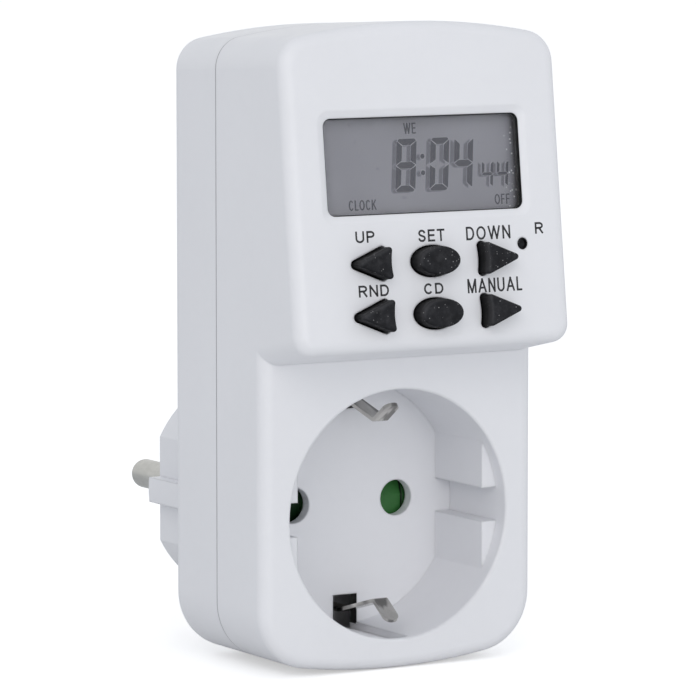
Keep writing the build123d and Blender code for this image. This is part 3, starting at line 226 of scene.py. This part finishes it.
# Materials. Scales are per metre and depths of relief in mm.
def housing_plastic():
    """White plastic with the dark line of its seam and painted shade, near black, in the clips'
    slots.
    """
    s = Shader("housing_plastic")
    base = s.mottled((0.795, 0.800, 0.828), 0.012, 45)
    dull = s.ramp(s.noise(620, 3.0), (0.45, 0.75), (0.0, 0.05))
    base = s.mix(dull, base, (0.67, 0.68, 0.71))

    # The seam, but not where the middle of the recess crosses its plane
    across, up = s.axis("X"), s.math("SUBTRACT", s.axis("Z"), SOCKET_RISE * MM)
    squares = s.math("ADD", s.math("MULTIPLY", across, across), s.math("MULTIPLY", up, up))
    limits = tuple((radius * MM) ** 2 for radius in SEAM_ENDS_AT)
    outside = s.ramp(squares, limits, (0.0, 1.0))
    line = s.near(s.axis("Y"), SEAM_Y * MM, 0.05 * MM, 0.14 * MM, 0.62)
    seam = s.math("MULTIPLY", line, outside)
    base = s.mix(seam, base, (0.20, 0.20, 0.22))

    # Painted shade: near black on the walls of the earth clips' slots, above and below the middle
    # of the recess
    slot_shade = 1.0
    for value, middle, half, edge in (
        (across, 0.0, CLIP_SLOT["half_width"], 0.10),
        (s.axis("Y"), CLIP_SLOT["y"], CLIP_SLOT["half_depth"], 0.06),
        (s.math("ABSOLUTE", up), CLIP_SLOT["rise"], CLIP_SLOT["half_height"], 0.10),
    ):
        inside = s.near(value, middle * MM, half * MM, (half + edge) * MM)
        slot_shade = s.math("MULTIPLY", inside, slot_shade)
    base = s.mix(slot_shade, base, (0.020, 0.020, 0.022))

    grain = s.math("ADD", s.noise(5200, 2.0), s.math("MULTIPLY", s.noise(160, 2.0), 1.5))
    relief = s.math("SUBTRACT", grain, s.math("MULTIPLY", seam, 3.0))
    return s.finish(base, (0.42, 0.07), 260, (relief, 0.02, 0.3), s.rounded(0.5 * MM),
                    Specular_IOR_Level=0.45, Coat_Weight=0.05, Coat_Roughness=0.3)


def rubber():
    """Dark rubber: pale and dusty on top, with a painted highlight on its left edges and painted
    shade, near black, down its steep walls.
    """
    s = Shader("key_rubber")
    base = s.mottled((0.0135, 0.014, 0.0165), 0.24, 700)
    haze = s.ramp(s.noise(420, 6.0, 0.75), (0.46, 0.74), (0.0, 0.55))
    base = s.mix(haze, base, (0.055, 0.055, 0.060))
    # Painted highlight: surfaces facing up and to the left are made paler
    left_edge_highlight = s.along((-0.83, -0.11, 0.55), s.rounded(0.9 * MM))
    base = s.mix(s.ramp(left_edge_highlight, (0.30, 0.62), (0.0, 0.6)), base, (0.075, 0.075, 0.080))
    # Painted shade: steep walls go near black, most of all low down near the panel
    low = s.ramp(s.along(PANEL_OUT, s.place), in_metres(KEY_SHOULDER), (0.92, 0.35))
    steep = s.ramp(s.along(-PANEL_OUT), (-0.95, -0.6), (0.0, 1.0))
    shaded_sides = s.math("MULTIPLY", steep, low)
    base = s.mix(shaded_sides, base, (0.0015, 0.0015, 0.002))
    dust = s.math("MAXIMUM", s.specks(3100, 0.32, 0.12), s.specks(1700, 0.16, 0.20))
    dusty = s.ramp(s.noise(520, 3.0, 0.6), (0.38, 0.58), (0.0, 0.8))
    dusty = s.math("MULTIPLY", dusty, s.math("SUBTRACT", 1.0, shaded_sides))
    base = s.mix(s.math("MULTIPLY", dust, dusty), base, (0.45, 0.45, 0.45))
    grain = s.noise(3800, 4.0, 0.7)
    return s.finish(base, (0.62, 0.10), 900, (grain, 0.04, 0.5), Specular_IOR_Level=0.12)


def plain_plastic(name, colour, rough=0.5, grain=3200, depth=0.02):
    s = Shader(name)
    base = s.mottled(colour, 0.06, 320)
    relief = s.noise(grain, 3.0)
    return s.finish(base, (rough, 0.08), 800, (relief, depth, 0.4), Specular_IOR_Level=0.4)


def shutter_plastic():
    """Green plastic with a groove; painted shade in the groove and behind the left pin hole, and
    darker beyond the groove.
    """
    s = Shader("shutter_green")
    base = s.mottled((0.032, 0.152, 0.034), 0.06, 320)
    across, groove_x = s.axis("X"), SHUTTER_GROOVE_X * MM
    # Painted shade behind the left pin hole
    shaded = s.ramp(across, in_metres(SHUTTER_SHADED_TO), (0.93, 0.0))
    base = s.mix(shaded, base, (0.004, 0.014, 0.006))
    beyond = s.ramp(across, (groove_x, groove_x + 0.1 * MM), (0.0, 0.45))
    base = s.mix(beyond, base, (0.010, 0.045, 0.014))
    # Painted shade in the groove, near black
    groove = s.near(across, groove_x, 0.10 * MM, 0.22 * MM, 0.97)
    base = s.mix(groove, base, (0.002, 0.006, 0.003))
    relief = s.math("SUBTRACT", s.noise(3200, 3.0), s.math("MULTIPLY", groove, 6.0))
    return s.finish(base, (0.42, 0.08), 800, (relief, 0.02, 0.4), Specular_IOR_Level=0.4)


def metal(name, colour, rough, grain=(1, 1, 1), spread=0.07, reflection_streaks=0.0):
    """Metal with fine lines, drawn out where the grain's scale is small, and dark streaked
    patches of painted reflection.
    """
    s = Shader(name)
    lines = s.noise(1500, 5.0, 0.65, s.stretched(grain))
    dim = s.ramp(lines, (0.35, 0.7), (0.0, 0.35))
    base = s.mix(dim, s.mottled(colour, spread, 420), tuple(c * 0.72 for c in colour))
    if reflection_streaks:
        # Dark drawn-out patches of painted reflection
        patches = s.noise(520, 2.0, 0.4, s.stretched(grain))
        reflection_streak = s.ramp(patches, (0.50, 0.58), (0.0, reflection_streaks))
        base = s.mix(reflection_streak, base, tuple(c * 0.16 for c in colour))
    return s.finish(base, (rough, 0.09), 520, (lines, 0.008, 0.5), Metallic=1.0)


def liquid_crystal():
    """The grey display, with painted shade darkening its right end, dust there and a few specks
    elsewhere.
    """
    s = Shader("liquid_crystal")
    base = s.mottled((0.315, 0.315, 0.350), 0.05, 75)
    # Painted shade: the right end of the glass darkens to near black
    shade_end = s.ramp(s.axis("X"), in_metres(GLASS_SHADE_FROM), (0.0, 1.0))
    shaded = s.math("MULTIPLY", s.math("POWER", shade_end, 1.1), 0.97)
    patches = s.ramp(s.noise(260, 3.0), (0.2, 0.8), (0.85, 1.1))
    base = s.mix(s.math("MULTIPLY", shaded, patches), base, (0.030, 0.032, 0.032))
    dusty_end = s.ramp(s.axis("X"), in_metres(GLASS_DUST_FROM), (0.0, 1.0))
    edge_dust = s.math("MULTIPLY", s.specks(1500, 0.28, 0.62), dusty_end)
    dust = s.math("MAXIMUM", edge_dust, s.specks(420, 0.035, 0.10))
    base = s.mix(s.math("MULTIPLY", dust, 0.9), base, (0.85, 0.86, 0.88))
    return s.finish(base, (0.32, 0.05), 600, (s.noise(2600, 2.0), 0.01, 0.3))


def clear_plastic():
    s = Shader("clear_lens")
    tint = s.mottled((0.93, 0.94, 0.955), 0.012, 90)
    return s.finish(tint, (0.035, 0.015), 240, (s.noise(60, 1.0), 0.004, 0.2),
                    Transmission_Weight=1.0, IOR=1.3)


def circuit_board():
    """Green board: a woven ground with paler tracks."""
    s = Shader("circuit_board")
    weave = s.node("ShaderNodeTexBrick")
    weave.inputs["Scale"].default_value = 520
    weave.inputs["Color1"].default_value = (0.02, 0.16, 0.05, 1)
    weave.inputs["Color2"].default_value = (0.03, 0.19, 0.07, 1)
    weave.inputs["Mortar"].default_value = (0.05, 0.24, 0.09, 1)
    s.link(s.place, weave.inputs["Vector"])
    tracks = s.noise(300, 2.0, 0.4, s.stretched((1, 1, 3)))
    base = s.mix(s.ramp(tracks, (0.52, 0.54), (0.0, 0.5)), weave.outputs["Color"],
                 (0.09, 0.30, 0.12))
    return s.finish(base, (0.35, 0.08), 700, (weave.outputs["Fac"], 0.02, 0.3))


def ink(name, colour, fade):
    s = Shader(name)
    worn = s.ramp(s.noise(2400, 4.0, 0.6), (0.5, 0.8), (0.0, fade))
    base = s.mix(worn, s.mottled(colour, 0.08, 900), (0.30, 0.30, 0.32))
    return s.finish(base, (0.5, 0.06), 1500, (s.noise(5000, 2.0), 0.005, 0.3))


slots = {
    "housing": housing_plastic(),
    "pin_metal": metal("pin_metal", (0.515, 0.515, 0.495), 0.42, (1, 0.2, 1), 0.05),
    "clear_lens": clear_plastic(),
    "lcd": liquid_crystal(),
    "dark_plastic": plain_plastic("dark_plastic", (0.014, 0.014, 0.015), 0.6),
    "key_rubber": rubber(),
    "film": plain_plastic("dome_film", (0.62, 0.62, 0.58), 0.45),
    "board": circuit_board(),
    "screw_steel": metal("screw_steel", (0.50, 0.50, 0.51), 0.30, (1, 0.3, 1)),
    "black_epoxy": plain_plastic("black_epoxy", (0.022, 0.022, 0.024), 0.6),
    "tin": metal("tin_can", (0.62, 0.62, 0.62), 0.26),
    "relay_case": plain_plastic("relay_case", (0.02, 0.05, 0.20), 0.35),
    "capacitor_box": plain_plastic("capacitor_box", (0.55, 0.36, 0.05), 0.45),
    "varistor_blue": plain_plastic("varistor_blue", (0.03, 0.10, 0.38), 0.35, 900, 0.05),
    "resistor_body": plain_plastic("resistor_body", (0.36, 0.25, 0.14), 0.45, 900, 0.05),
    "cable_grey": plain_plastic("cable_grey", (0.22, 0.22, 0.24), 0.55),
    "shutter_green": shutter_plastic(),
    "spring_steel": metal("spring_steel", (0.55, 0.55, 0.54), 0.3, (0.2, 1, 1)),
    "brass": metal("brass", (0.66, 0.46, 0.18), 0.32, (1, 0.3, 1)),
    "lead_brown": plain_plastic("lead_brown", (0.09, 0.035, 0.015), 0.4),
    "lead_blue": plain_plastic("lead_blue", (0.02, 0.06, 0.30), 0.4),
    "clip_nickel": metal("clip_nickel", (0.66, 0.64, 0.60), 0.16, (1, 0.22, 0.5), reflection_streaks=0.7),
}
for row in frame["record"]["subparts"]:
    node = nodes[row["node"]]
    node.data.materials.clear()
    node.data.materials.append(slots[row["material_slot"]])


# Pieces made here, all fixed to the timer's body. Outlines are lists of (x, mark) points on
# the panel's plane; a depth is that of a piece's back, and its thickness comes forwards.
def add_piece(name, points, faces, material):
    mesh = bpy.data.meshes.new(name)
    mesh.from_pydata([tuple(p) for p in points], [], faces)
    mesh.update()
    mesh.materials.append(material)
    piece = show(bpy.data.objects.new(name, mesh))
    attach(piece, "timer")


def prisms(name, outlines, depth, thickness, material):
    """Flat shapes, each given by its outline."""
    points, faces = [], []
    for outline in outlines:
        start, count = len(points), len(outline)
        points += [on_panel(x, v, depth - thickness) for x, v in outline]
        points += [on_panel(x, v, depth) for x, v in outline]
        faces.append(list(range(start, start + count)))
        faces.append(list(range(start + 2 * count - 1, start + count - 1, -1)))
        for i in range(count):
            j = (i + 1) % count
            faces.append([start + j, start + i, start + count + i, start + count + j])
    add_piece(name, points, faces, material)


def ribbons(name, lines, width, depth, thickness, material):
    """Strips of even width, each along a line of points, with mitred corners."""
    points, faces = [], []
    for line in lines:
        start = len(points)
        for i, (x, v) in enumerate(line):
            back, ahead = line[max(i - 1, 0)], line[min(i + 1, len(line) - 1)]
            first = math.atan2(v - back[1], x - back[0]) if i > 0 else None
            second = math.atan2(ahead[1] - v, ahead[0] - x) if i < len(line) - 1 else first
            first = second if first is None else first
            turn = (second - first + math.pi) % (2 * math.pi) - math.pi
            middle = first + turn / 2
            reach = width / 2 / max(math.cos(turn / 2), 0.5)
            dx, dv = -math.sin(middle) * reach, math.cos(middle) * reach
            for side in (1, -1):
                for level in (depth - thickness, depth):
                    points.append(on_panel(x + side * dx, v + side * dv, level))
        end = start + 4 * (len(line) - 1)
        for a in range(start, end, 4):
            b = a + 4
            faces += [[a, a + 2, b + 2, b], [a + 1, b + 1, b + 3, a + 3]]
            faces += [[a, b, b + 1, a + 1], [a + 2, a + 3, b + 3, b + 2]]
        faces += [[start, start + 1, start + 3, start + 2], [end, end + 2, end + 3, end + 1]]
    add_piece(name, points, faces, material)


def bend(cx, cv, rx, rv, start, end, count=14):
    """Points of an arc of an ellipse, the angles in degrees."""
    turns = [math.radians(start + (end - start) * i / count) for i in range(count + 1)]
    return [(cx + rx * math.cos(t), cv + rv * math.sin(t)) for t in turns]


# Plain capital letters: width for a height of 1, then lines in a square of side 1
STEM = [(0, 0), (0, 1)]
RIGHT_STEM = [(1, 0), (1, 1)]
TOP_BAR = [(0, 1), (1, 1)]
FOOT_BAR = [(0, 0), (1, 0)]
BOWL = [(0, 1)] + bend(0.55, 0.745, 0.45, 0.255, 90, -90) + [(0, 0.49)]
BELLY = [(0, 1)] + bend(0.45, 0.5, 0.55, 0.5, 90, -90) + [(0, 0)]
S_LINE = [(0.95, 0.74), (0.86, 0.90), (0.68, 0.98), (0.48, 1.0), (0.27, 0.975),
          (0.10, 0.87), (0.05, 0.735), (0.13, 0.61), (0.32, 0.54), (0.63, 0.465),
          (0.89, 0.385), (0.98, 0.255), (0.90, 0.11), (0.70, 0.02), (0.50, 0.0),
          (0.27, 0.025), (0.08, 0.13), (0.01, 0.28)]
LETTERS = {
    "A": (0.86, [[(0, 0), (0.5, 1)], [(1, 0), (0.5, 1)], [(0.2, 0.32), (0.8, 0.32)]]),
    "C": (0.80, [bend(0.5, 0.5, 0.5, 0.5, 38, 322, 24)]),
    "D": (0.76, [STEM, BELLY]),
    "E": (0.66, [STEM, TOP_BAR, [(0, 0.52), (0.92, 0.52)], FOOT_BAR]),
    "F": (0.62, [STEM, TOP_BAR, [(0, 0.5), (0.86, 0.5)]]),
    "K": (0.76, [STEM, [(0.02, 0.36), (0.95, 1)], [(0.36, 0.6), (1, 0)]]),
    "L": (0.58, [STEM, FOOT_BAR]),
    "M": (0.92, [STEM, RIGHT_STEM, [(0.02, 1), (0.5, 0)], [(0.98, 1), (0.5, 0)]]),
    "N": (0.74, [STEM, RIGHT_STEM, [(0.02, 1), (0.98, 0)]]),
    "O": (0.88, [bend(0.5, 0.5, 0.5, 0.5, 90, 450, 32)]),
    "P": (0.70, [STEM, BOWL]),
    "R": (0.74, [STEM, BOWL, [(0.52, 0.49), (0.98, 0)]]),
    "S": (0.72, [S_LINE]),
    "T": (0.72, [TOP_BAR, [(0.5, 0), (0.5, 1)]]),
    "U": (0.76, [[(0, 1)] + bend(0.5, 0.34, 0.5, 0.34, 180, 360) + [(1, 1)]]),
    "W": (1.16, [[(0, 1), (0.25, 0)], [(0.5, 1), (0.25, 0)], [(0.5, 1), (0.75, 0)],
                 [(1, 1), (0.75, 0)]]),
}
ROUND_LETTERS = "CSO"
LETTER_GAP = 0.2


def word(name, text, x_range, mark_range, stroke, depth, thickness, material):
    """A word in plain capitals between two x values and two marks, in mm."""
    widths = [LETTERS[sign][0] for sign in text]
    share = (x_range[1] - x_range[0]) / (sum(widths) + LETTER_GAP * (len(text) - 1))
    low, high = mark_range[0] + stroke / 2, mark_range[1] - stroke / 2
    lines, left = [], x_range[0]
    for sign, width in zip(text, widths):
        across = width * share - stroke
        for line in LETTERS[sign][1]:
            placed = [(left + stroke / 2 + u * across, low + w * (high - low)) for u, w in line]
            if placed[0] != placed[-1] and sign not in ROUND_LETTERS:
                for end, near in ((0, 1), (-1, -2)):
                    dx, dv = placed[end][0] - placed[near][0], placed[end][1] - placed[near][1]
                    longer = stroke / 2 / math.hypot(dx, dv)
                    placed[end] = (placed[end][0] + dx * longer, placed[end][1] + dv * longer)
            lines.append(placed)
        left += (width + LETTER_GAP) * share
    ribbons(name, lines, stroke, depth, thickness, material)


# Labels of the keys: the word, then its ends across the panel and up it
label_ink = ink("label_ink", (0.010, 0.010, 0.014), 0.05)
labels = {
    "label_up": ("UP", (-13.7, -10.3), (3.3, 5.1)),
    "label_set": ("SET", (-2.5, 2.3), (3.0, 4.9)),
    "label_down": ("DOWN", (6.2, 14.3), (2.9, 5.0)),
    "label_r": ("R", (18.9, 20.4), (3.4, 5.2)),
    "label_random": ("RND", (-13.7, -8.3), (-5.0, -3.2)),
    "label_countdown": ("CD", (-2.0, 1.5), (-5.1, -3.4)),
    "label_manual": ("MANUAL", (5.9, 15.9), (-5.3, -3.1)),
}
for name, (text, across, marks) in labels.items():
    word(name, text, across, marks, 0.31, 0.0, 0.012, label_ink)

# Display: seven-bar digits on the glass, each with a pale rim of painted highlight and the soft
# painted shadow behind it
bar_ink = ink("display_bars", (0.088, 0.089, 0.108), 0.05)
# Pale rims of painted highlight along the bars
rim_highlight_ink = ink("display_rim_highlights", (0.46, 0.46, 0.50), 0.0)
shadow_ink = ink("display_shadow", (0.170, 0.170, 0.200), 0.0)
half_shadow_ink = ink("display_half_shadow", (0.235, 0.235, 0.266), 0.0)
SLANT = 0.10
BARS = {"0": "abcdef", "4": "bcfg", "8": "abcdefg"}


def digit(sign, left, width, low, height, stroke, gap):
    """The bars of one digit as outlines, a gap apart where they meet."""
    w, h, t, g = width, height, stroke, gap
    m, n = h / 2, stroke * 0.30
    shapes = {
        "a": [(n + g, h), (w - n - g, h), (w - g, h - n), (w - t - g, h - t), (t + g, h - t),
              (g, h - n)],
        "d": [(g, n), (t + g, t), (w - t - g, t), (w - g, n), (w - n - g, 0), (n + g, 0)],
        "g": [(g, m), (t * 0.7 + g, m + t / 2), (w - t * 0.7 - g, m + t / 2), (w - g, m),
              (w - t * 0.7 - g, m - t / 2), (t * 0.7 + g, m - t / 2)],
        "f": [(0, m + g), (0, h - n - g), (n * 0.4, h - n - g), (t, h - t - g),
              (t, m + t * 0.6 + g)],
        "b": [(w, m + g), (w - t, m + t * 0.6 + g), (w - t, h - t - g),
              (w - n * 0.4, h - n - g), (w, h - n - g)],
        "e": [(0, m - g), (t, m - t * 0.6 - g), (t, t + g), (n * 0.4, n + g), (0, n + g)],
        "c": [(w, m - g), (w, n + g), (w - n * 0.4, n + g), (w - t, t + g),
              (w - t, m - t * 0.6 - g)],
    }
    return [
        [(left + x + SLANT * (v - m), low + v) for x, v in shapes[bar]] for bar in BARS[sign]
    ]


def grown(outline, amount):
    """The outline pushed outwards from its middle."""
    cx = sum(x for x, v in outline) / len(outline)
    cv = sum(v for x, v in outline) / len(outline)
    reach = [math.hypot(x - cx, v - cv) for x, v in outline]
    return [
        (cx + (x - cx) * (1 + amount / r), cv + (v - cv) * (1 + amount / r))
        for (x, v), r in zip(outline, reach)
    ]


def disc(x, mark, radius, count=24):
    turns = [2 * math.pi * i / count for i in range(count)]
    return [(x + radius * math.cos(a), mark + radius * math.sin(a)) for a in turns]


HOUR_AND_MINUTES = (("8", -4.25, 3.6), ("0", 1.9, 3.4), ("4", 6.25, 3.45))
SECONDS = (("4", 11.2, 2.12), ("4", 13.97, 2.12))
COLON_DOTS = ((0.6, 16.3), (0.55, 13.75))
SHADOW_SHIFT = (-0.72, -0.14)
bars = []
for sign, left, width in HOUR_AND_MINUTES:
    bars += digit(sign, left, width, low=10.9, height=8.2, stroke=1.0, gap=0.10)
for sign, left, width in SECONDS:
    bars += digit(sign, left, width, low=11.05, height=4.2, stroke=0.50, gap=0.06)
bars += [disc(x, mark, 0.40) for x, mark in COLON_DOTS]
fallen = [[(x + SHADOW_SHIFT[0], v + SHADOW_SHIFT[1]) for x, v in bar] for bar in bars]
for name, outlines, thickness, material in (
    ("display_digits", bars, 0.030, bar_ink),
    ("display_rim_highlights", [grown(bar, 0.07) for bar in bars], 0.020, rim_highlight_ink),
    ("display_shadows", [grown(bar, -0.05) for bar in fallen], 0.010, shadow_ink),
    ("display_shadow_edges", [grown(bar, 0.12) for bar in fallen], 0.006, half_shadow_ink),
):
    prisms(name, outlines, GLASS_DEPTH, thickness, material)
display_words = {
    "display_weekday": ("WE", (-2.5, -0.3), (19.85, 21.55)),
    "display_clock": ("CLOCK", (-13.1, -8.2), (8.35, 9.95)),
    "display_off": ("OFF", (13.35, 16.1), (8.35, 9.95)),
}
for name, (text, across, marks) in display_words.items():
    word(name, text, across, marks, 0.21, GLASS_DEPTH, 0.03, bar_ink)


# Thin dark walls of painted shade: on the edge of the lens and of its window, and as a sleeve in
# the reset hole
def window_ring(inset, count=6):
    """The window's outline moved inwards."""
    half_w = WINDOW["width"] / 2 - inset
    half_h = WINDOW["height"] / 2 - inset
    r = WINDOW["corner"] - inset
    ring = []
    for sx, sv, start in ((1, 1, 0), (-1, 1, 90), (-1, -1, 180), (1, -1, 270)):
        cx = WINDOW["x"] + sx * (half_w - r)
        cv = WINDOW["mark"] + sv * (half_h - r)
        ring += bend(cx, cv, r, r, start, start + 90, count)
    return ring


def ring_wall(name, inner, outer, near, far, material):
    """A thin wall between two outlines, from one depth to the next."""
    points, faces = [], []
    for ring in (inner, outer):
        for depth in (near, far):
            points += [on_panel(x, v, depth) for x, v in ring]
    n = len(inner)
    for i in range(n):
        j = (i + 1) % n
        faces.append([i, n + i, n + j, j])
        faces.append([2 * n + i, 2 * n + j, 3 * n + j, 3 * n + i])
        faces.append([i, j, 2 * n + j, 2 * n + i])
        faces.append([n + i, 3 * n + i, 3 * n + j, n + j])
    add_piece(name, points, faces, material)


# Painted shade: dark walls at the edge of the lens and of the window
painted_edge_shade = plain_plastic("painted_edge_shade", (0.002, 0.002, 0.002), 0.7)
painted_lens_shade = plain_plastic("painted_lens_shade", (0.026, 0.027, 0.028), 0.5)
ring_wall("lens_edge_shade", window_ring(0.16), window_ring(0.02), 0.92, 2.08, painted_lens_shade)
ring_wall("window_edge_shade", window_ring(0.05), window_ring(0.01), 0.51, 0.90, painted_edge_shade)
# Painted shade: a dark rubber sleeve darkens the wall of the reset hole
ring_wall("reset_hole_shade_sleeve", disc(*RESET_HOLE, 0.80), disc(*RESET_HOLE, 0.93), 0.10, 1.95,
          slots["key_rubber"])

# Stage: pale floor that fades to white for the viewer but keeps the shadow
paper = Shader("floor_paper")
for_viewer = paper.node("ShaderNodeLightPath").outputs["Is Camera Ray"]
glow = paper.math("MULTIPLY", for_viewer, 0.45)
paper.link(glow, paper.shader.inputs["Emission Strength"])
paper_white = paper.mottled((0.84, 0.84, 0.84), 0.006, 8)
floor_material = paper.finish(paper_white, (0.9, 0.03), 30, Emission_Color=(1, 1, 1, 1))
corners = [(-1, -1), (1, -1), (1, 1), (-1, 1)]
floor_points = [
    (x * FLOOR_HALF_SIDE * MM, y * FLOOR_HALF_SIDE * MM, FLOOR_Z * MM) for x, y in corners
]
floor_mesh = bpy.data.meshes.new("floor")
floor_mesh.from_pydata(floor_points, [], [(0, 1, 2, 3)])
floor_mesh.materials.append(floor_material)
floor = show(bpy.data.objects.new("floor", floor_mesh))

# Light: a soft, faintly blue surround, which the viewer and mirrors see as white
world = bpy.data.worlds.new("studio")
bpy.context.scene.world = world
world.use_nodes = True
sky = Nodes(world.node_tree)
sky.tree.nodes.clear()
rays = sky.node("ShaderNodeLightPath").outputs
mirrored = sky.math("MAXIMUM", rays["Is Glossy Ray"], rays["Is Transmission Ray"])
choice = sky.node("ShaderNodeMixShader")
sky.link(sky.math("MAXIMUM", rays["Is Camera Ray"], mirrored), choice.inputs[0])
for i, colour, strength in ((1, (0.915, 0.95, 1.0, 1), 0.70), (2, (1, 1, 1, 1), 1.0)):
    backdrop = sky.node("ShaderNodeBackground")
    backdrop.inputs["Color"].default_value = colour
    backdrop.inputs["Strength"].default_value = strength
    sky.link(backdrop.outputs[0], choice.inputs[i])
sky.link(choice.outputs[0], sky.node("ShaderNodeOutputWorld").inputs["Surface"])

# Two large soft lamps: place, what they point at, width, height (in metres), watts, colour
lamps = {
    "front": ((-0.12, -1.45, 0.02), (0, -0.04, 0.01), 0.9, 0.7, 5.3, (1, 0.99, 0.975)),
    "upper_left": ((-0.85, -1.05, 0.85), (0, -0.04, 0.02), 0.9, 0.9, 4.3, (1, 0.95, 0.91)),
}
for name, (place, aim, width, height, watts, colour) in lamps.items():
    data = bpy.data.lights.new(name, "AREA")
    data.shape = "RECTANGLE"
    data.size, data.size_y = width, height
    data.energy = watts
    data.color = colour
    lamp = show(bpy.data.objects.new(name, data))
    lamp.location = place
    lamp.rotation_euler = (Vector(aim) - Vector(place)).to_track_quat("-Z", "Y").to_euler()
